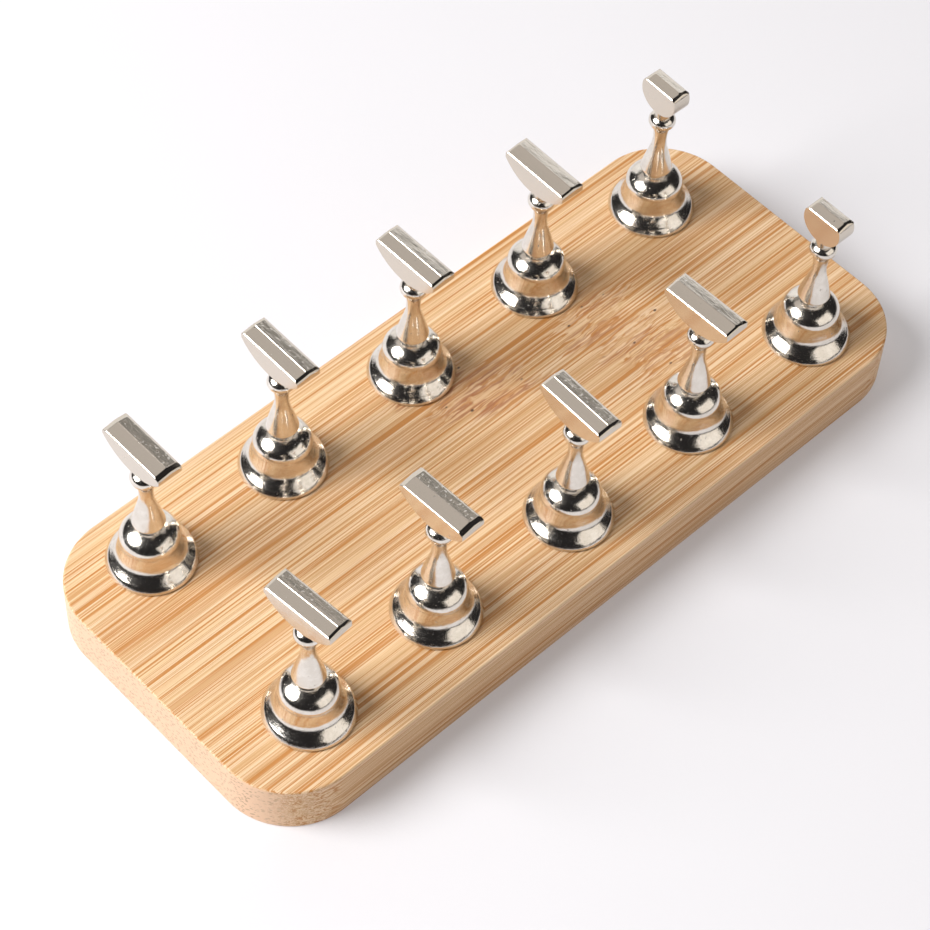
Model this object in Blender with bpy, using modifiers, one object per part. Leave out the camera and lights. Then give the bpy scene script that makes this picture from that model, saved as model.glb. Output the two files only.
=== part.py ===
# Magnetic nail practice stand: ten plated stands held by magnets on a bamboo board,
# each with a head that carries one nail tip. Metres, +Z up, +X along the board.
# The board's underside lies at zero height, with the board's centre over the origin.
import math

import bmesh
import bpy
from mathutils import Matrix, Vector

MM = 0.001

# Clearances between touching pieces
SEAT_GAP = 0.3 * MM
FIT_GAP = 0.3 * MM
CUT_OVERRUN = 2.0 * MM
WELD_DISTANCE = 0.01 * MM

# Board
BOARD_LENGTH = 190.0 * MM
BOARD_WIDTH = 81.0 * MM
BOARD_THICKNESS = 14.0 * MM
BOARD_CORNER_RADIUS = 17.0 * MM
BOARD_EDGE_ROUND = 0.8 * MM
BOARD_CORNER_STEPS = 7

# Keeper discs in blind pockets bored from the board's underside
KEEPER_RADIUS = 6.0 * MM
KEEPER_THICKNESS = 3.0 * MM
POCKET_SKIN = 2.0 * MM
DISC_SIDES = 16

# Stands: a grid of places, with the small offsets and turns that a hand leaves
STANDS_IN_ROW = 5
STAND_PITCH = 37.25 * MM
ROW_SPACING = 50.0 * MM
HAND_OFFSET = 1.2 * MM
BACK_OFFSET_SHARES = ((0.7, 0.8), (0.3, 0.8), (0.65, 0.9), (0.9, 0.55), (0.45, -0.2))
FRONT_OFFSET_SHARES = ((0.85, 0.6), (-0.4, 1.0), (0.0, 0.2), (0.1, 0.8), (0.1, 0.2))
BACK_TURN_DEGREES = (-0.1, -0.6, 0.2, -0.9, -2.0)
FRONT_TURN_DEGREES = (5.0, 2.2, -1.5, 0.9, -0.9)

# Stand outline, heights taken from the underside of the foot
STAND_SIDES = 18
FOOT_UNDER_RADIUS = 9.7 * MM
FOOT_RADIUS = 10.0 * MM
FOOT_RIM_HEIGHT = 0.2 * MM
FOOT_SHOULDER_RADIUS = 8.7 * MM
FOOT_SHOULDER_HEIGHT = 2.0 * MM
COVE_FOOT_RADIUS = 7.6 * MM
COVE_FOOT_HEIGHT = 3.1 * MM
COVE_TOP_RADIUS = 6.5 * MM
COVE_HOLLOW_SHARE = 0.2
BALL_RADIUS = 6.6 * MM
BALL_HALF_HEIGHT = 4.2 * MM
BALL_HEIGHT = 8.2 * MM
GROOVE_RADIUS = 2.8 * MM
GROOVE_TOP_HEIGHT = 13.4 * MM
LIP_RADIUS = 3.2 * MM
LIP_HEIGHT = 14.0 * MM
LIP_EDGE = 0.3 * MM
WAIST_RADIUS = 1.6 * MM
WAIST_HEIGHT = 22.9 * MM
BEAD_RADIUS = 3.1 * MM
BEAD_HALF_HEIGHT = 2.2 * MM
BEAD_HEIGHT = 29.3 * MM
BEAD_NECK_DEGREES = 30
NECK_LOWER_POWER = 1.25
NECK_UPPER_POWER = 2.0
FOOT_CURVE_SHARES = ((0.3, 0.46), (0.72, 0.85))
LOWER_NECK_SHARES = (0.0, 0.3, 0.62, 1.0)
UPPER_NECK_SHARES = (0.8, 0.5)

# Foot magnet, glued flush into the underside of the foot
MAGNET_RADIUS = 5.0 * MM
MAGNET_THICKNESS = 2.0 * MM

# Heads, each on a round boss that seats on the bead
HEAD_LENGTH = 17.9 * MM
HEAD_WIDTH = 6.1 * MM
HEAD_DEPTH = 6.2 * MM
HEAD_TIP_DEPTH = 1.8 * MM
HEAD_BOSS_HEIGHT = 2.4 * MM
SMALL_HEAD_LENGTH = 10.3 * MM
SMALL_HEAD_WIDTH = 4.6 * MM
SMALL_HEAD_DEPTH = 7.5 * MM
SMALL_HEAD_TIP_DEPTH = 2.0 * MM
SMALL_HEAD_BOSS_HEIGHT = 1.8 * MM
HEAD_FACET_DEGREES = 9.3
HEAD_EDGE_ROUND = 0.4 * MM
HEAD_ARC_STEPS = 8
BOSS_RADIUS = 1.9 * MM
BOSS_SIDES = 12
SPIGOT_RADIUS = 1.0 * MM
SPIGOT_LENGTH = 2.0 * MM


def start_empty():
    for item in list(bpy.data.objects):
        bpy.data.objects.remove(item, do_unlink=True)
    parts = bpy.data.collections.new('magnetic_nail_practice_stand')
    cutters = bpy.data.collections.new('cutters')
    bpy.context.scene.collection.children.link(parts)
    bpy.context.scene.collection.children.link(cutters)
    return parts, cutters


def make_material(name, colour, roughness, metallic):
    material = bpy.data.materials.new(name)
    material.use_nodes = True
    shader = material.node_tree.nodes['Principled BSDF']
    shader.inputs['Base Color'].default_value = (*colour, 1.0)
    shader.inputs['Roughness'].default_value = roughness
    shader.inputs['Metallic'].default_value = metallic
    return material


def add_object(name, mesh, collection, material=None, parent=None):
    item = bpy.data.objects.new(name, mesh)
    collection.objects.link(item)
    if material is not None and not mesh.materials:
        mesh.materials.append(material)
    item.parent = parent
    return item


def mesh_from_object(item, name):
    # Takes the shape with its modifiers applied, and removes the object it came from
    bpy.context.view_layer.update()
    graph = bpy.context.evaluated_depsgraph_get()
    mesh = bpy.data.meshes.new_from_object(item.evaluated_get(graph))
    mesh.name = name
    shape = bmesh.new()
    shape.from_mesh(mesh)
    bmesh.ops.remove_doubles(shape, verts=shape.verts, dist=WELD_DISTANCE)
    shape.to_mesh(mesh)
    shape.free()
    bpy.data.objects.remove(item, do_unlink=True)
    return mesh


def outline_mesh(name, points, thickness, collection):
    # A flat outline in X and Y, made solid by half its thickness to each side of zero
    curve = bpy.data.curves.new(name, 'CURVE')
    curve.dimensions = '2D'
    curve.fill_mode = 'BOTH'
    curve.extrude = thickness / 2
    spline = curve.splines.new('POLY')
    spline.points.add(len(points) - 1)
    for place, (x, y) in zip(spline.points, points):
        place.co = (x, y, 0.0, 1.0)
    spline.use_cyclic_u = True
    item = bpy.data.objects.new(name, curve)
    collection.objects.link(item)
    return mesh_from_object(item, name)


def arc_points(centre_x, centre_y, radius_x, radius_y, first, last, steps):
    points = []
    for step in range(steps + 1):
        angle = math.radians(first + (last - first) * step / steps)
        points.append((centre_x + radius_x * math.cos(angle), centre_y + radius_y * math.sin(angle)))
    return points


def shade_round(mesh):
    mesh.shade_smooth()
    mesh.set_sharp_from_angle(angle=math.radians(35))


def disc_mesh(name, radius, thickness):
    # A flat disc with its underside at zero
    shape = bmesh.new()
    bmesh.ops.create_cone(shape, cap_ends=True, segments=DISC_SIDES, radius1=radius, radius2=radius,
                          depth=thickness, matrix=Matrix.Translation((0.0, 0.0, thickness / 2)))
    mesh = bpy.data.meshes.new(name)
    shape.to_mesh(mesh)
    shape.free()
    shade_round(mesh)
    return mesh


def row_places(row_side, offset_shares, turns):
    # Nominal place, place with the hand's offset, and turn of each stand in one row
    places = []
    for index in range(STANDS_IN_ROW):
        x = (index - (STANDS_IN_ROW - 1) / 2) * STAND_PITCH
        y = row_side * ROW_SPACING / 2
        share_x, share_y = offset_shares[index]
        placed = (x + share_x * HAND_OFFSET, y + share_y * HAND_OFFSET)
        places.append(((x, y), placed, math.radians(turns[index])))
    return places


def build_board(parts, cutters, places, material):
    reach_x = BOARD_LENGTH / 2 - BOARD_CORNER_RADIUS
    reach_y = BOARD_WIDTH / 2 - BOARD_CORNER_RADIUS
    outline = []
    for quarter, (side_x, side_y) in enumerate(((1, 1), (-1, 1), (-1, -1), (1, -1))):
        outline += arc_points(side_x * reach_x, side_y * reach_y, BOARD_CORNER_RADIUS, BOARD_CORNER_RADIUS,
                              90 * quarter, 90 * quarter + 90, BOARD_CORNER_STEPS)
    mesh = outline_mesh('bamboo_board', outline, BOARD_THICKNESS, cutters)
    mesh.transform(Matrix.Translation((0.0, 0.0, BOARD_THICKNESS / 2)))
    board = add_object('bamboo_board', mesh, parts, material)
    edges = board.modifiers.new('rounded edges', 'BEVEL')
    edges.width = BOARD_EDGE_ROUND
    edges.segments = 2
    edges.limit_method = 'ANGLE'
    edges.angle_limit = math.radians(60)

    # Blind pockets from below, one under each nominal place
    pocket_depth = BOARD_THICKNESS - POCKET_SKIN + CUT_OVERRUN
    shape = bmesh.new()
    for nominal, placed, turn in places:
        middle = Matrix.Translation((nominal[0], nominal[1], pocket_depth / 2 - CUT_OVERRUN))
        bmesh.ops.create_cone(shape, cap_ends=True, segments=DISC_SIDES, radius1=KEEPER_RADIUS + FIT_GAP,
                              radius2=KEEPER_RADIUS + FIT_GAP, depth=pocket_depth, matrix=middle)
    pocket_mesh = bpy.data.meshes.new('keeper_pockets')
    shape.to_mesh(pocket_mesh)
    shape.free()
    pockets = add_object('keeper_pockets', pocket_mesh, cutters)
    pockets.hide_render = True
    pockets.display_type = 'WIRE'
    cut = board.modifiers.new('keeper pockets', 'BOOLEAN')
    cut.operation = 'DIFFERENCE'
    cut.solver = 'EXACT'
    cut.object = pockets
    shade_round(mesh)
    return board


def neck_points():
    # The neck's outline from under the bead, in to the waist and out to the lip
    points = []
    flare_radius = BEAD_RADIUS * math.cos(math.radians(BEAD_NECK_DEGREES))
    flare_height = BEAD_HEIGHT - BEAD_HALF_HEIGHT * math.sin(math.radians(BEAD_NECK_DEGREES))
    for share in UPPER_NECK_SHARES:
        radius = WAIST_RADIUS + (flare_radius - WAIST_RADIUS) * share ** NECK_UPPER_POWER
        points.append((radius, WAIST_HEIGHT + (flare_height - WAIST_HEIGHT) * share))
    for share in LOWER_NECK_SHARES:
        radius = WAIST_RADIUS + (LIP_RADIUS - WAIST_RADIUS) * share ** NECK_LOWER_POWER
        points.append((radius, WAIST_HEIGHT - (WAIST_HEIGHT - LIP_HEIGHT) * share))
    return points


def foot_points(crease_height):
    # The hollow cove under the ball's crease, the S-curve out over the shoulder, then the rim
    hollow = COVE_TOP_RADIUS + (COVE_FOOT_RADIUS - COVE_TOP_RADIUS) * COVE_HOLLOW_SHARE
    points = [(hollow, (crease_height + COVE_FOOT_HEIGHT) / 2), (COVE_FOOT_RADIUS, COVE_FOOT_HEIGHT),
              (FOOT_SHOULDER_RADIUS, FOOT_SHOULDER_HEIGHT)]
    for down_share, out_share in FOOT_CURVE_SHARES:
        points.append((FOOT_SHOULDER_RADIUS + (FOOT_RADIUS - FOOT_SHOULDER_RADIUS) * out_share,
                       FOOT_SHOULDER_HEIGHT - (FOOT_SHOULDER_HEIGHT - FOOT_RIM_HEIGHT) * down_share))
    points += [(FOOT_RADIUS, FOOT_RIM_HEIGHT), (FOOT_UNDER_RADIUS, 0.0)]
    return points


def stand_outline():
    # Runs from the bottom of the head's bore, up and over the flat seat on the bead, then down the
    # outer side to the magnet's recess
    bore = SPIGOT_RADIUS + FIT_GAP
    seat_angle = math.degrees(math.acos(BOSS_RADIUS / BEAD_RADIUS))
    seat_height = BEAD_HEIGHT + BEAD_HALF_HEIGHT * math.sin(math.radians(seat_angle))
    bore_bottom = seat_height - SPIGOT_LENGTH - FIT_GAP
    points = [(0.0, bore_bottom), (bore, bore_bottom), (bore, seat_height)]
    points += arc_points(0.0, BEAD_HEIGHT, BEAD_RADIUS, BEAD_HALF_HEIGHT, seat_angle, -BEAD_NECK_DEGREES, 3)
    points += neck_points()

    # Lip's lower edge and the groove under it, down to the ball
    points += [(LIP_RADIUS, LIP_HEIGHT - LIP_EDGE), (GROOVE_RADIUS, GROOVE_TOP_HEIGHT)]

    # Ball: a flattened ellipse from the groove to the crease where the cove begins
    first = math.degrees(math.acos(GROOVE_RADIUS / BALL_RADIUS))
    last = -math.degrees(math.acos(COVE_TOP_RADIUS / BALL_RADIUS))
    points += arc_points(0.0, BALL_HEIGHT, BALL_RADIUS, BALL_HALF_HEIGHT, first, last, 5)
    points += foot_points(points[-1][1])
    recess = MAGNET_RADIUS + FIT_GAP
    points += [(recess, 0.0), (recess, MAGNET_THICKNESS + FIT_GAP), (0.0, MAGNET_THICKNESS + FIT_GAP)]
    return points, seat_height


def turned_object(name, outline, sides, collection):
    # Turns a half outline, which runs from the top down its outer side, about the upright axis
    mesh = bpy.data.meshes.new(name)
    mesh.from_pydata([(radius, 0.0, height) for radius, height in outline],
                     [(index, index + 1) for index in range(len(outline) - 1)], [])
    item = add_object(name, mesh, collection)
    turned = item.modifiers.new('turned form', 'SCREW')
    turned.steps = sides
    turned.render_steps = sides
    turned.use_merge_vertices = True
    turned.merge_threshold = WELD_DISTANCE
    return item


def stand_mesh(outline, collection):
    finished = mesh_from_object(turned_object('stand', outline, STAND_SIDES, collection), 'stand')
    shade_round(finished)
    return finished


def head_mesh(name, length, width, depth, tip_depth, boss_height, collection):
    # Half-moon side outline, its lower arc through both blunt tips and the lowest point. The
    # boss's underside lies at zero height, and the arc's lowest point is as high as the boss.
    half = length / 2
    rise = depth - tip_depth
    radius = (half ** 2 + rise ** 2) / (2 * rise)
    end_angle = math.degrees(math.atan2(rise - radius, half))
    edge = boss_height + depth
    ridge = width / 2 * math.tan(math.radians(HEAD_FACET_DEGREES))
    outline = arc_points(0.0, boss_height + radius, radius, radius, end_angle, -180 - end_angle,
                         HEAD_ARC_STEPS)
    outline += [(-half, edge + ridge), (half, edge + ridge)]
    half_moon = outline_mesh(name, outline, width, collection)
    half_moon.transform(Matrix(((0, 0, 1, 0), (1, 0, 0, 0), (0, 1, 0, 0), (0, 0, 0, 1))))

    # Roof-shaped section that cuts the two shallow facets
    roof_outline = [(-width, -CUT_OVERRUN), (width, -CUT_OVERRUN), (width, edge - ridge),
                    (0.0, edge + ridge), (-width, edge - ridge)]
    roof = outline_mesh(name + '_roof', roof_outline, length + CUT_OVERRUN, collection)
    roof.transform(Matrix(((1, 0, 0, 0), (0, 0, -1, 0), (0, 1, 0, 0), (0, 0, 0, 1))))
    roof_item = add_object(name + '_roof', roof, collection)

    item = add_object(name, half_moon, collection)
    facets = item.modifiers.new('two facets', 'BOOLEAN')
    facets.operation = 'INTERSECT'
    facets.solver = 'EXACT'
    facets.object = roof_item
    edges = item.modifiers.new('rounded edges', 'BEVEL')
    edges.width = HEAD_EDGE_ROUND
    edges.segments = 2
    edges.limit_method = 'ANGLE'
    edges.angle_limit = math.radians(50)

    # Round boss that seats on the bead, with a spigot under it that stands in the bead's bore
    boss_top = boss_height + CUT_OVERRUN
    spigot_foot = -SPIGOT_LENGTH - SEAT_GAP
    boss_outline = [(0.0, boss_top), (BOSS_RADIUS, boss_top), (BOSS_RADIUS, 0.0), (SPIGOT_RADIUS, 0.0),
                    (SPIGOT_RADIUS, spigot_foot), (0.0, spigot_foot)]
    boss = turned_object(name + '_boss', boss_outline, BOSS_SIDES, collection)
    joined = item.modifiers.new('boss and spigot', 'BOOLEAN')
    joined.operation = 'UNION'
    joined.solver = 'EXACT'
    joined.object = boss
    finished = mesh_from_object(item, name)
    bpy.data.objects.remove(roof_item, do_unlink=True)
    bpy.data.objects.remove(boss, do_unlink=True)
    shade_round(finished)
    return finished


def build_row(row_name, places, small_places, parts, meshes, materials, seat_height):
    for index, (nominal, placed, turn) in enumerate(places):
        number = str(index + 1)
        keeper = add_object('keeper_disc_' + row_name + number, meshes['keeper'], parts, materials['keeper'])
        keeper_top = BOARD_THICKNESS - POCKET_SKIN - SEAT_GAP
        keeper.location = (nominal[0], nominal[1], keeper_top - KEEPER_THICKNESS)

        # The empty stands on the axis that the stand turns about and lifts along
        axis = bpy.data.objects.new('axis_' + row_name + number, None)
        parts.objects.link(axis)
        axis.location = (placed[0], placed[1], BOARD_THICKNESS + SEAT_GAP)
        axis.rotation_euler = (0.0, 0.0, turn)
        add_object('foot_magnet_' + row_name + number, meshes['magnet'], parts, materials['magnet'], axis)
        add_object('stand_' + row_name + number, meshes['stand'], parts, materials['stand'], axis)
        size = 'small_head' if index in small_places else 'head'
        head = add_object('nail_rest_' + row_name + number, meshes[size], parts, materials['head'], axis)
        head.location = (0.0, 0.0, seat_height + SEAT_GAP)


def build_part():
    parts, cutters = start_empty()
    materials = {
        'board': make_material('bamboo', (0.78, 0.52, 0.27), 0.55, 0.0),
        'keeper': make_material('keeper_steel', (0.45, 0.44, 0.43), 0.35, 1.0),
        'magnet': make_material('magnet_nickel', (0.62, 0.60, 0.57), 0.25, 1.0),
        'stand': make_material('bright_plating', (0.82, 0.80, 0.77), 0.06, 1.0),
        'head': make_material('head_plating', (0.74, 0.71, 0.67), 0.16, 1.0)}
    back = row_places(1, BACK_OFFSET_SHARES, BACK_TURN_DEGREES)
    front = row_places(-1, FRONT_OFFSET_SHARES, FRONT_TURN_DEGREES)
    build_board(parts, cutters, back + front, materials['board'])

    outline, seat_height = stand_outline()
    meshes = {
        'keeper': disc_mesh('keeper_disc', KEEPER_RADIUS, KEEPER_THICKNESS),
        'magnet': disc_mesh('foot_magnet', MAGNET_RADIUS, MAGNET_THICKNESS),
        'stand': stand_mesh(outline, cutters),
        'head': head_mesh('nail_rest', HEAD_LENGTH, HEAD_WIDTH, HEAD_DEPTH, HEAD_TIP_DEPTH,
                          HEAD_BOSS_HEIGHT, cutters),
        'small_head': head_mesh('small_nail_rest', SMALL_HEAD_LENGTH, SMALL_HEAD_WIDTH, SMALL_HEAD_DEPTH,
                                SMALL_HEAD_TIP_DEPTH, SMALL_HEAD_BOSS_HEIGHT, cutters)}
    last_place = {STANDS_IN_ROW - 1}
    build_row('back_', back, last_place, parts, meshes, materials, seat_height)
    build_row('front_', front, last_place, parts, meshes, materials, seat_height)
    bpy.context.view_layer.update()


build_part()
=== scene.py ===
"""Magnetic nail practice stand: ten plated stands that hold themselves by magnets to a bamboo board."""

import math

import bmesh
import bpy
from mathutils import Matrix, Vector


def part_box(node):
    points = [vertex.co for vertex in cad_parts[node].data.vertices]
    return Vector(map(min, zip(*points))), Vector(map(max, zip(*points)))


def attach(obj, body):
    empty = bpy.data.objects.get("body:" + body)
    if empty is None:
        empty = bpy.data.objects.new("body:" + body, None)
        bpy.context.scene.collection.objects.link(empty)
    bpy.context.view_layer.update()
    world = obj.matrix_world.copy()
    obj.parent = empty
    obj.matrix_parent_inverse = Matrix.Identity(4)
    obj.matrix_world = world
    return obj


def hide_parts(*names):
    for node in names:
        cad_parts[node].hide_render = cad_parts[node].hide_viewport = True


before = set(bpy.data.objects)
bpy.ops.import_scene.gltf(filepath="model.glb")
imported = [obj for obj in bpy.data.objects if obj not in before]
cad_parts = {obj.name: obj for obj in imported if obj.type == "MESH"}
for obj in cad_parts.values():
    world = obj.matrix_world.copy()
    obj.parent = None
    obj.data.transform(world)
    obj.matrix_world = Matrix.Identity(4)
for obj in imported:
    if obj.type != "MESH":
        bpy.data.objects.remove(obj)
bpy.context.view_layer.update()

# Bamboo board. A slab glued up from bamboo strips set on edge, with all the fibres along its
# length, sawn to rounded corners, sanded and given a thin satin lacquer. A band of the cane's
# joints crosses the middle. Ten blind pockets are bored from below for the keeper discs.
BOARD_LENGTH = 0.190
BOARD_WIDTH = 0.081
BOARD_THICKNESS = 0.014
CORNER_RADIUS = 0.017
CORNER_STEPS = 28
EDGE_ROUND = 0.0005
EDGE_STEPS = 4
POCKET_RADIUS = 0.0063
POCKET_DEPTH = 0.012
POCKET_SIDES = 48
STRIP_WIDTH_MM = 6.1
WELD_DISTANCE = 0.000002
SHARP_ANGLE = math.radians(38)
STRIP_PALE = (0.84, 0.605, 0.385, 1)
STRIP_WARM = (0.80, 0.555, 0.315, 1)
HAIR_PALE = (0.90, 0.70, 0.48, 1)
HAIR_BROWN = (0.64, 0.36, 0.14, 1)
THIN_BROWN = (0.56, 0.285, 0.095, 1)
BOLD_BROWN = (0.53, 0.215, 0.045, 1)
JOINT_BROWN = (0.56, 0.31, 0.15, 1)
FLECK_BROWN = (0.40, 0.15, 0.06, 1)
PIT_BLACK = (0.08, 0.04, 0.02, 1)
SAWN_TAN = (0.79, 0.525, 0.335, 1)
SAWN_PALE = (0.86, 0.595, 0.42, 1)
DOT_BROWN = (0.40, 0.235, 0.125, 1)
NUMBERS = [row + str(index) for row in ("back_", "front_") for index in range(1, 6)]


def middle_of(node):
    low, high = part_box(node)
    return (low + high) / 2


def finish_mesh(shape, name, body, stands_for, finish):
    """Turns a finished shape into a piece that rides on its body in place of its CAD node."""
    bmesh.ops.remove_doubles(shape, verts=shape.verts, dist=WELD_DISTANCE)
    bmesh.ops.recalc_face_normals(shape, faces=shape.faces)
    mesh = bpy.data.meshes.new(name)
    shape.to_mesh(mesh)
    shape.free()
    mesh.shade_smooth()
    mesh.set_sharp_from_angle(angle=SHARP_ANGLE)
    mesh.materials.append(finish)
    piece = bpy.data.objects.new(name, mesh)
    bpy.context.scene.collection.objects.link(piece)
    even = piece.modifiers.new("flat faces stay flat", "WEIGHTED_NORMAL")
    even.keep_sharp = True
    even.weight = 80
    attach(piece, body)
    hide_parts(stands_for)
    return piece


class Tone:
    """A value in a finish. Sums and products of tones add their own Math nodes."""

    def __init__(self, finish, socket):
        self.finish = finish
        self.socket = socket

    def reckon(self, operation, first, second):
        return self.finish.node("ShaderNodeMath", {"operation": operation}, {0: first, 1: second})

    def __add__(self, other):
        return self.reckon("ADD", self, other)

    def __radd__(self, other):
        return self.reckon("ADD", other, self)

    def __sub__(self, other):
        return self.reckon("SUBTRACT", self, other)

    def __rsub__(self, other):
        return self.reckon("SUBTRACT", other, self)

    def __mul__(self, other):
        return self.reckon("MULTIPLY", self, other)

    def __rmul__(self, other):
        return self.reckon("MULTIPLY", other, self)

    def __truediv__(self, other):
        return self.reckon("DIVIDE", self, other)

    def __rtruediv__(self, other):
        return self.reckon("DIVIDE", other, self)


class Finish:
    """One material, with its shader and a short way to add nodes to it."""

    def __init__(self, name):
        self.material = bpy.data.materials.new(name)
        self.material.use_nodes = True
        self.tree = self.material.node_tree
        self.shader = self.tree.nodes["Principled BSDF"]
        place = self.tree.nodes.new("ShaderNodeTexCoord")
        self.place = Tone(self, place.outputs["Object"])

    def feed(self, socket, value):
        if isinstance(value, Tone):
            self.tree.links.new(value.socket, socket)
        else:
            socket.default_value = value

    def node(self, kind, settings, inputs, output=0):
        made = self.tree.nodes.new(kind)
        for name, value in settings.items():
            setattr(made, name, value)
        for name, value in inputs.items():
            self.feed(made.inputs[name], value)
        return Tone(self, made.outputs[output])

    def set(self, **values):
        for name, value in values.items():
            self.feed(self.shader.inputs[name.replace("_", " ")], value)

    def parts(self, place):
        """The three numbers of a place."""
        split = self.node("ShaderNodeSeparateXYZ", {}, {0: place}).socket.node
        return [Tone(self, split.outputs[index]) for index in range(3)]

    def at(self, x, y, z):
        return self.node("ShaderNodeCombineXYZ", {}, {0: x, 1: y, 2: z})

    def noise(self, place, scale=1.0, detail=2.0, roughness=0.5):
        return self.node("ShaderNodeTexNoise", {}, {
            "Vector": place, "Scale": scale, "Detail": detail, "Roughness": roughness})

    def chance(self, number):
        """A random value from 0 to 1 for each whole number."""
        return self.node("ShaderNodeTexWhiteNoise", {"noise_dimensions": "1D"}, {"W": number})

    def step(self, value, low, high, to_low=0.0, to_high=1.0):
        """Runs smoothly from one value to the other as the tone goes from low to high."""
        return self.node("ShaderNodeMapRange", {"interpolation_type": "SMOOTHSTEP"}, {
            "Value": value, "From Min": low, "From Max": high, "To Min": to_low, "To Max": to_high})

    def blend(self, share, first, second):
        """A colour between two colours."""
        return self.node("ShaderNodeMix", {"data_type": "RGBA", "clamp_factor": True}, {
            0: share, 6: first, 7: second}, output=2)

    def whole(self, value):
        return self.node("ShaderNodeMath", {"operation": "FLOOR"}, {0: value})

    def size(self, value):
        return self.node("ShaderNodeMath", {"operation": "ABSOLUTE"}, {0: value})

    def cells(self, place, scatter=1.0):
        """How far a place is from the middle of its random cell, and a chance value for that cell."""
        away = self.node("ShaderNodeTexVoronoi", {}, {"Vector": place, "Scale": 1.0, "Randomness": scatter})
        luck = self.parts(Tone(self, away.socket.node.outputs["Color"]))[0]
        return away, luck

    def relief(self, height, depth):
        """A bumpy surface, on which a height of 1 stands out by the depth."""
        self.set(Normal=self.node("ShaderNodeBump", {}, {
            "Strength": 1.0, "Distance": depth, "Height": height}))


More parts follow.
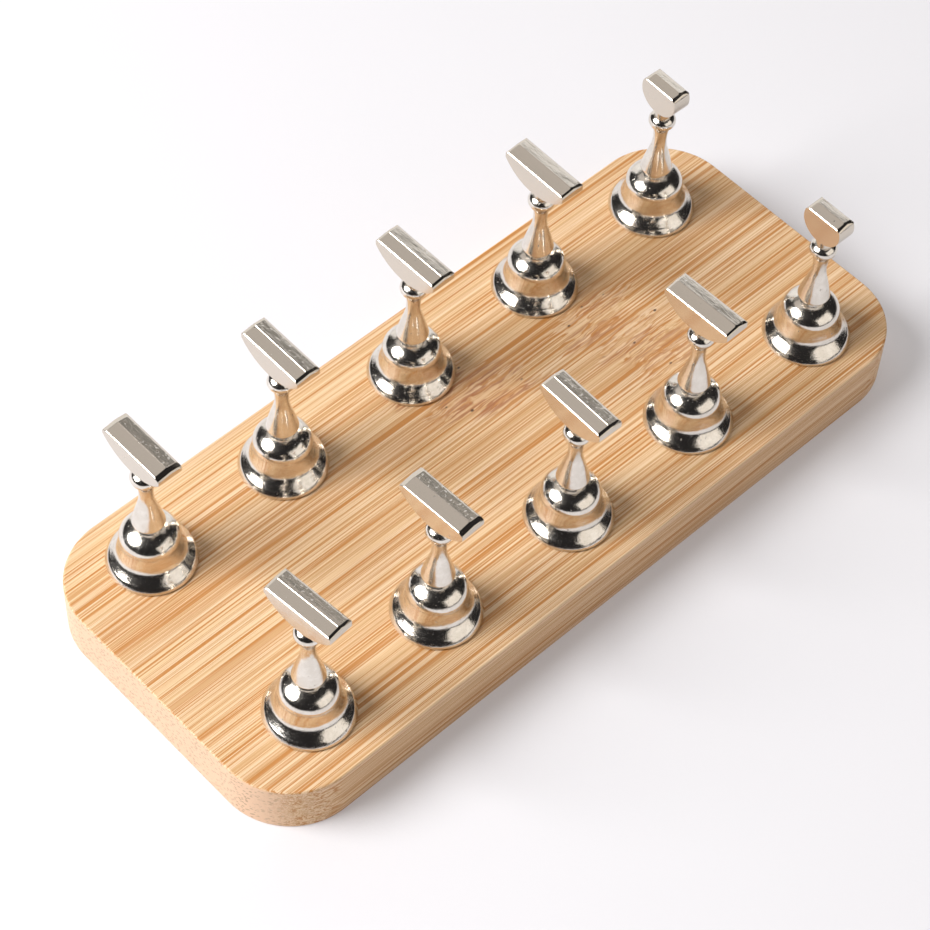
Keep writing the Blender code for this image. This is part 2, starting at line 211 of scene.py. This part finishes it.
def bamboo_finish():
    bamboo = Finish("bamboo")
    x, y, z = bamboo.parts(bamboo.node("ShaderNodeVectorMath", {"operation": "SCALE"}, {
        0: bamboo.place, "Scale": 1000.0}))

    # Strips on edge, every one cut from another part of the cane
    strip = bamboo.whole(y / STRIP_WIDTH_MM + 0.37)
    luck = bamboo.chance(strip)
    second_luck = bamboo.chance(strip + 40.0)

    # The cane's joints cross the middle: one patch behind, and one further along in front of it
    lean = bamboo.noise(bamboo.at(x * 0.02, y * 0.16, z * 0.1), detail=2.0) * 26.0 - 13.0

    def joint_patch(middle_x, middle_y, slant, fade_x, fade_y):
        """A slanting patch of joints. Each fade is where it starts and where the patch is full."""
        beside = y - middle_y
        return (bamboo.step(bamboo.size(x - middle_x + beside * slant + lean), *fade_x)
                * bamboo.step(bamboo.size(beside), *fade_y))

    first_joint = joint_patch(8.0, 14.0, 0.5, (14.0, 5.0), (13.0, 7.0))
    second_joint = joint_patch(42.85, 1.0, 0.15, (13.0, 4.0), (19.0, 11.0))
    near_joint = bamboo.step(first_joint + second_joint, 0.0, 1.0)
    wander = bamboo.noise(bamboo.at(x * 0.006, y * 0.02, z * 0.02), detail=1.0) * 1.6
    swirl = (bamboo.noise(bamboo.at(x * 0.10, y * 0.22, z * 0.2), detail=2.0) - 0.5) * near_joint * 2.2
    across = y + wander + swirl
    deep = z + wander + swirl

    def fibres(length, width, shift, thick, soft):
        """Brown lines along the fibres, where a slow pattern passes its middle value."""
        pattern = bamboo.noise(bamboo.at(x * length + shift, across * width, deep * width), detail=2.0,
                               roughness=0.55)
        return bamboo.step(bamboo.size(pattern - 0.5), thick, soft)

    strong = bamboo.noise(bamboo.at(x * 0.012, across * 0.55 + 7.0, deep * 0.55), detail=2.0)
    bold = fibres(0.0016, 0.95, luck * 9.0, 0.052, 0.030) * bamboo.step(strong, 0.36, 0.56, 0.3, 1.0)
    thin = fibres(0.0026, 1.9, second_luck * 7.0, 0.062, 0.032) * bamboo.step(strong, 0.66, 0.40, 0.5, 1.0)
    hair = bamboo.noise(bamboo.at(x * 0.03, across * 4.5, deep * 4.5), detail=2.0, roughness=0.6)
    band = bamboo.noise(bamboo.at(x * 0.006, across * 0.32, deep * 0.32 + luck * 3.0), detail=2.0)

    # Short brown flecks and small dark pits where the joints were cut through
    streak = bamboo.noise(bamboo.at(x * 0.10, across * 1.9, deep * 1.9), detail=2.0)
    fleck = bamboo.step(streak, 0.52, 0.58) * bamboo.step(first_joint + second_joint * 0.6, 0.0, 1.0)
    hole, hole_luck = bamboo.cells(bamboo.at(x * 0.26, y * 0.36, z * 0.36))
    pit = (bamboo.step(hole, 0.14, 0.08) * bamboo.step(hole_luck, 0.25, 0.3)
           * bamboo.step(near_joint, 0.3, 0.7))

    pale = bamboo.blend(bamboo.step(band, 0.35, 0.65), STRIP_PALE, STRIP_WARM)
    pale = bamboo.blend(bamboo.step(hair, 0.42, 0.66) * 0.35, pale, HAIR_PALE)
    colour = bamboo.blend(bamboo.step(hair, 0.50, 0.34) * 0.38, pale, HAIR_BROWN)
    colour = bamboo.blend(thin * 0.72, colour, THIN_BROWN)
    colour = bamboo.blend(bold * 0.95, colour, BOLD_BROWN)
    colour = bamboo.blend(near_joint * 0.12 + first_joint * 0.2, colour, JOINT_BROWN)
    colour = bamboo.blend(fleck * 0.8, colour, FLECK_BROWN)
    colour = bamboo.blend(pit * 0.92, colour, PIT_BLACK)

    # The sawn ends show the fibre bundles as dense small dots
    facing = bamboo.parts(bamboo.node("ShaderNodeNewGeometry", {}, {}, output="Normal"))[0]
    end_grain = bamboo.step(bamboo.size(facing), 0.55, 0.9)
    dot, dot_luck = bamboo.cells(bamboo.at(x * 0.3, y * 0.95 + z * 0.4, z * 1.35), 0.9)
    dots = bamboo.step(dot, 0.42, 0.24) * (dot_luck * 0.7 + 0.3)
    sawn = bamboo.blend(bamboo.step(hair, 0.35, 0.65) * 0.4, SAWN_TAN, SAWN_PALE)
    sawn = bamboo.blend(dots * 0.85, sawn, DOT_BROWN)
    colour = bamboo.blend(end_grain, colour, sawn)
    bamboo.set(Base_Color=colour, Roughness=0.44 + hair * 0.10 + bold * 0.05)
    bamboo.shader.inputs["Coat Weight"].default_value = 0.1
    bamboo.shader.inputs["Coat Roughness"].default_value = 0.3
    bamboo.relief(hair * 0.5 - bold * 0.5 - thin * 0.3 - pit * 1.5, 0.00004)
    return bamboo.material


def board_piece():
    shape = bmesh.new()
    bmesh.ops.create_grid(shape, x_segments=1, y_segments=1, size=0.5)
    bmesh.ops.scale(shape, vec=(BOARD_LENGTH, BOARD_WIDTH, 1.0), verts=shape.verts)
    bmesh.ops.bevel(shape, geom=shape.verts[:], offset=CORNER_RADIUS, affect="VERTICES",
                    segments=CORNER_STEPS, profile=0.5, material=-1)
    grown = bmesh.ops.extrude_face_region(shape, geom=shape.faces[:])
    lifted = [item for item in grown["geom"] if isinstance(item, bmesh.types.BMVert)]
    bmesh.ops.translate(shape, vec=(0.0, 0.0, BOARD_THICKNESS), verts=lifted)
    rims = [edge for edge in shape.edges
            if abs(edge.verts[0].co.z - edge.verts[1].co.z) < BOARD_THICKNESS / 2]
    bmesh.ops.bevel(shape, geom=rims, offset=EDGE_ROUND, affect="EDGES", segments=EDGE_STEPS,
                    profile=0.5, material=-1)
    board = finish_mesh(shape, "board", "board", "bamboo_board", bamboo_finish())

    # The drills reach as far below the board as they go into it
    drills = bmesh.new()
    for number in NUMBERS:
        place = middle_of("keeper_disc_" + number)
        bmesh.ops.create_cone(drills, cap_ends=True, segments=POCKET_SIDES, radius1=POCKET_RADIUS,
                              radius2=POCKET_RADIUS, depth=POCKET_DEPTH * 2,
                              matrix=Matrix.Translation((place.x, place.y, 0.0)))
    drill_mesh = bpy.data.meshes.new("pocket_drills")
    drills.to_mesh(drill_mesh)
    drills.free()
    drill = bpy.data.objects.new("pocket_drills", drill_mesh)
    bpy.context.scene.collection.objects.link(drill)
    bored = board.modifiers.new("bored pockets", "BOOLEAN")
    bored.object = drill
    bored.solver = "EXACT"
    board.modifiers.move(1, 0)
    bpy.context.view_layer.update()
    seen = board.evaluated_get(bpy.context.evaluated_depsgraph_get())
    whole = bpy.data.meshes.new_from_object(seen)
    board.modifiers.clear()
    board.data = whole
    bpy.data.objects.remove(drill)
    return board


board_piece()

# Keeper discs and foot magnets. The discs are stamped steel, set in the board's pockets under its
# thin skin. The magnets are nickel-plated and glued into the recesses under the feet.
DISC_CHAMFER = 0.00025
DISC_SIDES = 64


def dull_metal(name, dark, light, roughness):
    metal = Finish(name)
    grain = metal.noise(metal.place, scale=900.0, detail=4.0, roughness=0.6)
    stain = metal.noise(metal.place, scale=180.0, detail=3.0)
    metal.set(Base_Color=metal.blend(metal.step(stain, 0.3, 0.7), dark, light),
              Roughness=roughness + grain * 0.2)
    metal.shader.inputs["Metallic"].default_value = 1.0
    metal.relief(grain, 0.00002)
    return metal.material


def disc_piece(node, body, finish):
    low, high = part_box(node)
    centre = (low + high) / 2
    radius = (high.x - low.x) / 2
    shape = bmesh.new()
    bmesh.ops.create_cone(shape, cap_ends=True, segments=DISC_SIDES, radius1=radius, radius2=radius,
                          depth=high.z - low.z, matrix=Matrix.Translation(centre))
    rims = [edge for edge in shape.edges if max(len(face.verts) for face in edge.link_faces) > 4]
    bmesh.ops.bevel(shape, geom=rims, offset=DISC_CHAMFER, affect="EDGES", segments=2, profile=0.5,
                    material=-1)
    return finish_mesh(shape, node + "_turned", body, node, finish)


keeper_steel = dull_metal("keeper_steel", (0.36, 0.35, 0.34, 1), (0.52, 0.51, 0.50, 1), 0.32)
magnet_nickel = dull_metal("magnet_nickel", (0.52, 0.50, 0.47, 1), (0.66, 0.64, 0.60, 1), 0.2)
for number in NUMBERS:
    disc_piece("keeper_disc_" + number, "board", keeper_steel)
    disc_piece("foot_magnet_" + number, "foot_magnet_" + number, magnet_nickel)

# Turned stands. Each is one casting, plated bright: a wide foot with an S-curved shoulder and a
# hollow cove, a flattened ball, a lip, a slim neck and a bead that the head sits on. The plating
# lies over a slightly uneven casting, so reflections in it waver.
FOOT_UNDER_RADIUS = 0.0097
FOOT_RADIUS = 0.010
FOOT_RIM_HEIGHT = 0.0002
FOOT_BELOW = -0.00022
SHOULDER_RADIUS = 0.0087
SHOULDER_HEIGHT = 0.0020
COVE_FOOT_RADIUS = 0.0076
COVE_FOOT_HEIGHT = 0.0031
BALL_RADIUS = 0.0066
BALL_HALF_HEIGHT = 0.0042
BALL_HEIGHT = 0.0082
BALL_END_ANGLE = 2
GROOVE_RADIUS = 0.0028
GROOVE_HEIGHT = 0.0131
GROOVE_EASE = 0.0001
LIP_RADIUS = 0.0036
LIP_HEIGHT = 0.0140
WAIST_RADIUS = 0.0016
WAIST_HEIGHT = 0.0234
BEAD_RADIUS = 0.0031
BEAD_HALF_HEIGHT = 0.0022
BEAD_HEIGHT = 0.0293
BEAD_END_ANGLE = -26
BOSS_RADIUS = 0.0019
BORE_RADIUS = 0.0013
BORE_DEPTH = 0.0023
RECESS_RADIUS = 0.0053
RECESS_DEPTH = 0.0023
TURNED_SIDES = 80

# Radius and height of places along the outline, from the bead down
NECK_LINE = [(0.0025, 0.02805), (0.00215, 0.0275), (0.00188, 0.0266), (0.00168, 0.0252),
             (WAIST_RADIUS, WAIST_HEIGHT), (0.00171, 0.0216), (0.00206, 0.0200), (0.00250, 0.0184),
             (0.00290, 0.0169), (0.00327, 0.0154), (LIP_RADIUS, LIP_HEIGHT)]
LIP_LINE = [(LIP_RADIUS + 0.00002, LIP_HEIGHT - 0.00018), (LIP_RADIUS - 0.00012, LIP_HEIGHT - 0.00036),
            (GROOVE_RADIUS, GROOVE_HEIGHT)]
FOOT_LINE = [(0.00653, 0.0073), (0.00658, 0.0063), (0.00674, 0.0053), (0.007, 0.0042),
             (COVE_FOOT_RADIUS, COVE_FOOT_HEIGHT), (SHOULDER_RADIUS, SHOULDER_HEIGHT),
             (0.0093, 0.00145), (0.0098, 0.0007), (FOOT_RADIUS, FOOT_RIM_HEIGHT)]
UNDER_LINE = [(FOOT_RADIUS, 0.0001), (FOOT_UNDER_RADIUS + 0.0001, FOOT_BELOW),
              (FOOT_UNDER_RADIUS - 0.0002, FOOT_BELOW), (RECESS_RADIUS, FOOT_BELOW),
              (RECESS_RADIUS, RECESS_DEPTH), (0.0, RECESS_DEPTH)]

STAND_PLATING = (0.74, 0.69, 0.62, 1)
STAND_PLATING_WARM = (0.84, 0.80, 0.74, 1)
STAND_PIT = (0.22, 0.19, 0.17, 1)


def plating_finish():
    plate = Finish("bright_plating")
    lump = plate.noise(plate.place, scale=230.0, detail=2.0, roughness=0.5)
    ripple = plate.noise(plate.place, scale=1100.0, detail=3.0, roughness=0.6)
    peel = plate.noise(plate.place, scale=3600.0, detail=3.0, roughness=0.65)
    bloom = plate.noise(plate.place, scale=420.0, detail=4.0, roughness=0.65)
    pit = plate.step(plate.noise(plate.place, scale=1500.0, detail=1.0), 0.72, 0.80)
    tint = plate.blend(plate.step(bloom, 0.35, 0.75), STAND_PLATING, STAND_PLATING_WARM)
    plate.set(Base_Color=plate.blend(pit * 0.6, tint, STAND_PIT),
              Roughness=0.13 + plate.step(bloom, 0.5, 0.8) * 0.06 + plate.step(peel, 0.5, 0.7) * 0.14
              + pit * 0.2)
    plate.shader.inputs["Metallic"].default_value = 1.0
    plate.relief(lump * 0.5 + ripple * 0.25 + peel * 0.11 - pit * 0.2, 0.0001)
    return plate.material


def between(first, last, steps):
    return [first + (last - first) * index / steps for index in range(steps + 1)]


def oval(middle_height, half_width, half_height, first, last, steps):
    """Places round an upright oval on the axis, from one angle to the other in degrees."""
    angles = [math.radians(angle) for angle in between(first, last, steps)]
    return [(half_width * math.cos(angle), middle_height + half_height * math.sin(angle))
            for angle in angles]


def drawn(corners, steps):
    """A smooth line through a few places, as a pen guided by a spline would draw it."""
    line = []
    ends = [corners[0]] + corners + [corners[-1]]
    for index in range(1, len(ends) - 2):
        before, start, stop, after = [Vector(place) for place in ends[index - 1:index + 3]]
        for share in between(0.0, 1.0, steps)[:-1]:
            square, cube = share ** 2, share ** 3
            place = (start * (2 * cube - 3 * square + 1) + stop * (3 * square - 2 * cube)
                     + (stop - before) / 2 * (cube - 2 * square + share)
                     + (after - start) / 2 * (cube - square))
            line.append((place.x, place.y))
    return line + [tuple(corners[-1])]


def stand_line():
    """The half outline of a stand, from the bore in its bead to the recess under its foot."""
    seat_angle = math.degrees(math.acos(BOSS_RADIUS / BEAD_RADIUS))
    seat_height = BEAD_HEIGHT + BEAD_HALF_HEIGHT * math.sin(math.radians(seat_angle))
    bore_bottom = seat_height - BORE_DEPTH
    line = [(0.0, bore_bottom), (BORE_RADIUS, bore_bottom), (BORE_RADIUS, seat_height)]
    line += oval(BEAD_HEIGHT, BEAD_RADIUS, BEAD_HALF_HEIGHT, seat_angle, BEAD_END_ANGLE, steps=18)
    line += drawn(NECK_LINE, steps=4)
    line += drawn(LIP_LINE, steps=3)
    ball_top = math.degrees(math.acos((GROOVE_RADIUS + GROOVE_EASE) / BALL_RADIUS))
    line += oval(BALL_HEIGHT, BALL_RADIUS, BALL_HALF_HEIGHT, ball_top, BALL_END_ANGLE, steps=30)
    line += drawn([line[-1]] + FOOT_LINE, steps=6)[1:]
    return line + UNDER_LINE


def stand_piece(number, line, finish):
    seat = middle_of("stand_" + number)
    seat.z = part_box("stand_" + number)[0].z
    shape = bmesh.new()
    rings = [shape.verts.new((radius, 0.0, height)) for radius, height in line]
    for above, below in zip(rings, rings[1:]):
        shape.edges.new((above, below))
    bmesh.ops.spin(shape, geom=shape.verts[:] + shape.edges[:], cent=(0, 0, 0), axis=(0, 0, 1),
                   angle=math.tau, steps=TURNED_SIDES, use_merge=True)
    bmesh.ops.translate(shape, vec=seat, verts=shape.verts)
    return finish_mesh(shape, "turned_stand_" + number, "stand_" + number,
                       "stand_" + number, finish)


stand_plating = plating_finish()
outline = stand_line()
for number in NUMBERS:
    stand_piece(number, outline, stand_plating)

# Nail rests. Each is a cast half-moon bar on a round boss, whose spigot stands in the bead. Two
# shallow facets on top meet in a crest, where the mould's halves leave a small step. The top is
# satin from handling and from the putty that holds a nail tip. Sides and broken edges are bright.

# For each head: its turn from square, its mould step, and how far in the ends of its top slope down
TURN_DEGREES = dict(zip(NUMBERS, (-0.1, -0.6, 0.2, -0.9, -2.0, 5.0, 2.2, -1.5, 0.9, -0.9)))
SHARP_STEP = {"step_half": 0.00006, "fall": 0.00008}
FAINT_STEP = {"step_half": 0.0001, "fall": 0.00006}
WIDE_STEP = {"step_half": 0.00016, "fall": 0.0001}
STEPS = dict(zip(NUMBERS, (FAINT_STEP, SHARP_STEP, SHARP_STEP, WIDE_STEP, WIDE_STEP,
                           SHARP_STEP, FAINT_STEP, SHARP_STEP, WIDE_STEP, WIDE_STEP)))
TIP_EASES = dict(zip(NUMBERS, (0.0013, 0.0009, 0.0008, 0.0007, 0.0007,
                               0.0008, 0.0013, 0.0009, 0.0007, 0.0007)))
LONG_HEAD = {"length": 0.0179, "width": 0.0061, "depth": 0.0062, "tip": 0.0018, "boss": 0.0024}
SHORT_HEAD = {"length": 0.0103, "width": 0.0046, "depth": 0.0075, "tip": 0.0020, "boss": 0.0018}
CREST_TILT = math.radians(9.3)
INNER_TILT = math.radians(7)
OUTER_TILT = math.radians(15)
OUTER_SHARE = 0.78
CREST_SINK = 0.00002
TIP_TILT = math.radians(24)
TIP_ROUND = 0.00035
BROKEN_EDGE_TILT = math.radians(50)
BROKEN_EDGE_DROP = 0.00018
EDGE_SOFTNESS = 0.00011

# The boss nearly fills the gap over the bead, and both pegs run up into the bar
SEAT_GAP = 0.0003
BOSS_BELOW = SEAT_GAP * 0.95
BOSS_INSIDE = 0.0012
SPIGOT_RADIUS = 0.0010
SPIGOT_LENGTH = 0.0020
SPIGOT_INSIDE = 0.0004
HALF_MOON_STEPS = 160
PEG_SIDES = 48
CUT_REACH = 1e-7
HEAD_WELD = 1e-6
# Painted shade: every face but the top gets a darker, warmer plating colour, for the shaded board that the
# sides reflect
HEAD_SIDE_PAINTED_SHADE = (0.68, 0.62, 0.54, 1)
HEAD_TOP = (0.74, 0.69, 0.62, 1)
HEAD_SPOT = (0.98, 0.96, 0.92, 1)
HEAD_PIT = (0.14, 0.12, 0.10, 1)


def saw_off(shape, spot, away):
    """Saws the shape off at a plane, and closes the cut with a flat face."""
    bmesh.ops.bisect_plane(shape, geom=shape.verts[:] + shape.edges[:] + shape.faces[:], dist=CUT_REACH,
                           plane_co=spot, plane_no=away, clear_outer=True)
    bmesh.ops.contextual_create(shape, geom=[edge for edge in shape.edges if edge.is_boundary])


def is_tip_edge(edge):
    """Whether an edge runs across the bar, between the sloping end of its top and its end."""
    start, stop = [end.co for end in edge.verts]
    slopes = [face for face in edge.link_faces if face.normal.z > 0.8 and abs(face.normal.y) > 0.3]
    ends = [face for face in edge.link_faces if face.normal.z < 0.6]
    return slopes and ends and abs(start.y - stop.y) < abs(start.x - stop.x) * 0.3


def head_shape(length, width, depth, tip, boss, step_half, fall, ease):
    """A half-moon bar: a round disc sawn flat on top and at both tips, with its edges eased."""
    half = length / 2
    rise = depth - tip
    radius = (half ** 2 + rise ** 2) / (2 * rise)
    reach = min(half, math.sqrt(radius ** 2 - (depth - radius) ** 2))
    edge_height = boss + depth
    crest = edge_height + width / 2 * math.tan(CREST_TILT) - CREST_SINK
    shape = bmesh.new()
    upright = Matrix(((0, 0, 1, -width / 2), (1, 0, 0, 0), (0, 1, 0, boss + radius), (0, 0, 0, 1)))
    bmesh.ops.create_circle(shape, cap_ends=True, segments=HALF_MOON_STEPS, radius=radius, matrix=upright)
    grown = bmesh.ops.extrude_face_region(shape, geom=shape.faces[:])
    drawn_out = [item for item in grown["geom"] if isinstance(item, bmesh.types.BMVert)]
    bmesh.ops.translate(shape, vec=(width, 0, 0), verts=drawn_out)

    # The facet on one side is flat. The other one is crowned, and falls faster past its middle.
    bend = width / 2 * OUTER_SHARE
    saw_off(shape, (step_half, 0, crest), (-math.sin(CREST_TILT), 0, math.cos(CREST_TILT)))
    saw_off(shape, (step_half, 0, crest), (math.sin(INNER_TILT), 0, math.cos(INNER_TILT)))
    saw_off(shape, (bend, 0, crest - (bend - step_half) * math.tan(INNER_TILT)),
            (math.sin(OUTER_TILT), 0, math.cos(OUTER_TILT)))

    # The flat facet ends a little lower than the crest, at the foot of the mould's step
    flats = [face for face in shape.faces if face.normal.z > 0.95 and face.normal.x < 0]
    around = dict.fromkeys(item for face in flats for item in list(face.edges) + list(face.verts))
    bmesh.ops.bisect_plane(shape, geom=flats + list(around), dist=CUT_REACH, plane_co=(-step_half, 0, 0),
                           plane_no=(1, 0, 0))
    for vertex in shape.verts:
        if abs(vertex.co.x + step_half) < HEAD_WELD and vertex.co.z > edge_height:
            vertex.co.z -= fall

    # Both ends and both long edges are broken, and then every edge is softened
    flat_low = crest - (width / 2 + step_half) * math.tan(CREST_TILT)
    flat_high = crest - 2 * step_half * math.tan(CREST_TILT) - fall
    flat_tilt = -math.atan((flat_high - flat_low) / (width / 2 - step_half))
    for side in (1, -1):
        saw_off(shape, (0, side * half, 0), (0, side, 0))
        for spot_x, spot_z, tilt in ((-width / 2, flat_low, flat_tilt), (step_half, crest, INNER_TILT)):
            saw_off(shape, (spot_x, side * (reach - ease), spot_z),
                    (math.sin(tilt) * math.cos(TIP_TILT), side * math.sin(TIP_TILT),
                     math.cos(tilt) * math.cos(TIP_TILT)))
        saw_off(shape, (side * width / 2, 0, edge_height - BROKEN_EDGE_DROP),
                (side * math.cos(BROKEN_EDGE_TILT), 0, math.sin(BROKEN_EDGE_TILT)))
    bmesh.ops.remove_doubles(shape, verts=shape.verts, dist=HEAD_WELD)
    bmesh.ops.recalc_face_normals(shape, faces=shape.faces)
    tips = [edge for edge in shape.edges if is_tip_edge(edge)]
    bmesh.ops.bevel(shape, geom=tips, offset=TIP_ROUND, affect="EDGES", segments=6, profile=0.5,
                    material=-1)
    hard = [edge for edge in shape.edges if edge.calc_face_angle(0) > math.radians(20)]
    bmesh.ops.bevel(shape, geom=hard, offset=EDGE_SOFTNESS, affect="EDGES", segments=3, profile=0.5,
                    material=-1, clamp_overlap=True)
    return shape


def peg(shape, radius, low, high):
    """A round peg on the upright axis, from one height to the other."""
    bmesh.ops.create_cone(shape, cap_ends=True, segments=PEG_SIDES, radius1=radius, radius2=radius,
                          depth=high - low, matrix=Matrix.Translation((0, 0, (low + high) / 2)))


def head_piece(number, sizes, finish):
    shape = head_shape(**sizes, **STEPS[number], ease=TIP_EASES[number])
    peg(shape, BOSS_RADIUS, -BOSS_BELOW, sizes["boss"] + BOSS_INSIDE)
    peg(shape, SPIGOT_RADIUS, -SPIGOT_LENGTH - SEAT_GAP, SPIGOT_INSIDE)
    seat = middle_of("stand_" + number)
    seat.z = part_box("nail_rest_" + number)[0].z + SPIGOT_LENGTH + SEAT_GAP
    turn = Matrix.Rotation(math.radians(TURN_DEGREES[number]), 3, "Z")
    bmesh.ops.rotate(shape, cent=(0, 0, 0), matrix=turn, verts=shape.verts)
    bmesh.ops.translate(shape, vec=seat, verts=shape.verts)
    return finish_mesh(shape, "half_moon_rest_" + number, "stand_" + number,
                       "nail_rest_" + number, finish)


def rest_finish():
    rest = Finish("head_plating")
    facing = rest.parts(rest.node("ShaderNodeNewGeometry", {}, {}, output="Normal"))
    top = rest.step(facing[2], 0.93, 0.965)
    far_facet = top * rest.step(facing[0], 0.05, 0.10)
    x, y, z = rest.parts(rest.place)
    streak = rest.noise(rest.at(x * 900.0, y * 170.0, z * 600.0), detail=3.0, roughness=0.6)
    brushed = rest.noise(rest.at(x * 5200.0, y * 420.0, z * 900.0), detail=2.0, roughness=0.6)
    lump = rest.noise(rest.place, scale=260.0, detail=3.0)
    spot = rest.step(rest.noise(rest.place, scale=1500.0, detail=2.0), 0.62, 0.70)
    pit = rest.step(rest.noise(rest.place, scale=700.0, detail=1.0), 0.74, 0.79)
    # Painted shade: all but the top take the darker, warmer side colour, standing in for the shaded board
    # reflected in the sides
    top_with_shaded_sides = rest.blend(top, HEAD_SIDE_PAINTED_SHADE, HEAD_TOP)
    top_with_shaded_sides = rest.blend(spot * far_facet * 0.6, top_with_shaded_sides, HEAD_SPOT)
    rest.set(Base_Color=rest.blend(pit * top * 0.75, top_with_shaded_sides, HEAD_PIT),
             Roughness=0.16 - top * 0.05 + top * brushed * 0.10 + spot * top * 0.1 + pit * 0.2)
    rest.shader.inputs["Metallic"].default_value = 1.0
    rest.relief(lump * 0.3 + far_facet * streak * 0.6 + spot * far_facet * 0.15
                + top * (brushed * 0.03 - pit * 0.4), 0.0001)
    return rest.material


head_finish = rest_finish()
for number in NUMBERS:
    head_piece(number, SHORT_HEAD if number.endswith("5") else LONG_HEAD, head_finish)


# Studio: a white paper floor, a large soft box on the left, a white card at the near right, a dim
# grey wall above and behind, a darker strip under it, and pale paper low down at the back. The
# camera's side is left dark.
FLOOR_REACH = 2.2
PAPER = (0.643, 0.638, 0.665, 1)
PAPER_GLOW = (0.98, 0.97, 1.0, 1)


def floor_piece():
    shape = bmesh.new()
    bmesh.ops.create_grid(shape, x_segments=4, y_segments=4, size=FLOOR_REACH)
    mesh = bpy.data.meshes.new("paper_floor")
    shape.to_mesh(mesh)
    shape.free()
    paper = Finish("white_paper")
    tooth = paper.noise(paper.place, scale=1400.0, detail=2.0)
    paper.set(Base_Color=PAPER, Roughness=0.9, Emission_Color=PAPER_GLOW)
    paper.shader.inputs["Emission Strength"].default_value = 0.22
    paper.shader.inputs["Specular IOR Level"].default_value = 0.2
    paper.relief(tooth, 0.00002)
    mesh.materials.append(paper.material)
    floor = bpy.data.objects.new("paper_floor", mesh)
    bpy.context.scene.collection.objects.link(floor)


def soft_panel(name, shape, azimuth, elevation, distance, width, height, radiance, colour):
    """A flat glowing panel that faces the object, with the brightness that a mirror would show."""
    direction = Vector((math.cos(math.radians(elevation)) * math.cos(math.radians(azimuth)),
                        math.cos(math.radians(elevation)) * math.sin(math.radians(azimuth)),
                        math.sin(math.radians(elevation))))
    panel = bpy.data.lights.new(name, "AREA")
    panel.shape = shape
    panel.size = width
    panel.size_y = height
    filled = {"RECTANGLE": 1.0, "ELLIPSE": math.pi / 4}[shape]
    panel.energy = radiance * math.pi * width * height * filled
    panel.color = colour
    holder = bpy.data.objects.new(name, panel)
    holder.location = direction * distance
    holder.rotation_euler = direction.to_track_quat("Z", "Y").to_euler()
    bpy.context.scene.collection.objects.link(holder)


floor_piece()
soft_panel("left_soft_box", "ELLIPSE", 150, 42, 1.2, 0.78, 0.78, 13.7, (1.0, 0.99, 0.98))
soft_panel("near_card", "RECTANGLE", -75, 27, 1.0, 1.0, 0.75, 1.05, (1.0, 0.94, 0.87))
soft_panel("back_wall", "RECTANGLE", 56, 67, 1.9, 2.6, 1.15, 0.58, (1.0, 0.925, 0.86))
soft_panel("back_shade", "RECTANGLE", 46, 46, 2.0, 2.9, 0.34, 0.17, (1.0, 0.96, 0.88))
soft_panel("back_paper", "RECTANGLE", 50, 20.5, 2.1, 3.2, 1.55, 1.0, (1.0, 0.985, 0.97))

room = bpy.data.worlds.new("dark_room")
room.use_nodes = True
room.node_tree.nodes["Background"].inputs["Color"].default_value = (0.02, 0.019, 0.02, 1)
bpy.context.scene.world = room
bpy.context.scene.view_settings.view_transform = "Standard"

# Camera: at the photograph's angle, looking down from over the near left corner.
camera_data = bpy.data.cameras.new("camera")
camera_data.sensor_width = 36.0
camera_data.lens = 111.867
camera_data.shift_x = 0.06097
camera_data.shift_y = -0.03544
camera_data.clip_start = 0.02
camera = bpy.data.objects.new("camera", camera_data)
bpy.context.scene.collection.objects.link(camera)
right = Vector((0.73829572, -0.67422429, 0.01846714))
down = Vector((-0.53726851, -0.60443644, -0.58821691))
forward = Vector((0.40775234, 0.42435621, -0.80849232))
stance = Matrix((right, -down, -forward)).transposed().to_4x4()
stance.translation = Vector((-0.268804, -0.254135, 0.525100))
camera.matrix_world = stance
bpy.context.scene.camera = camera
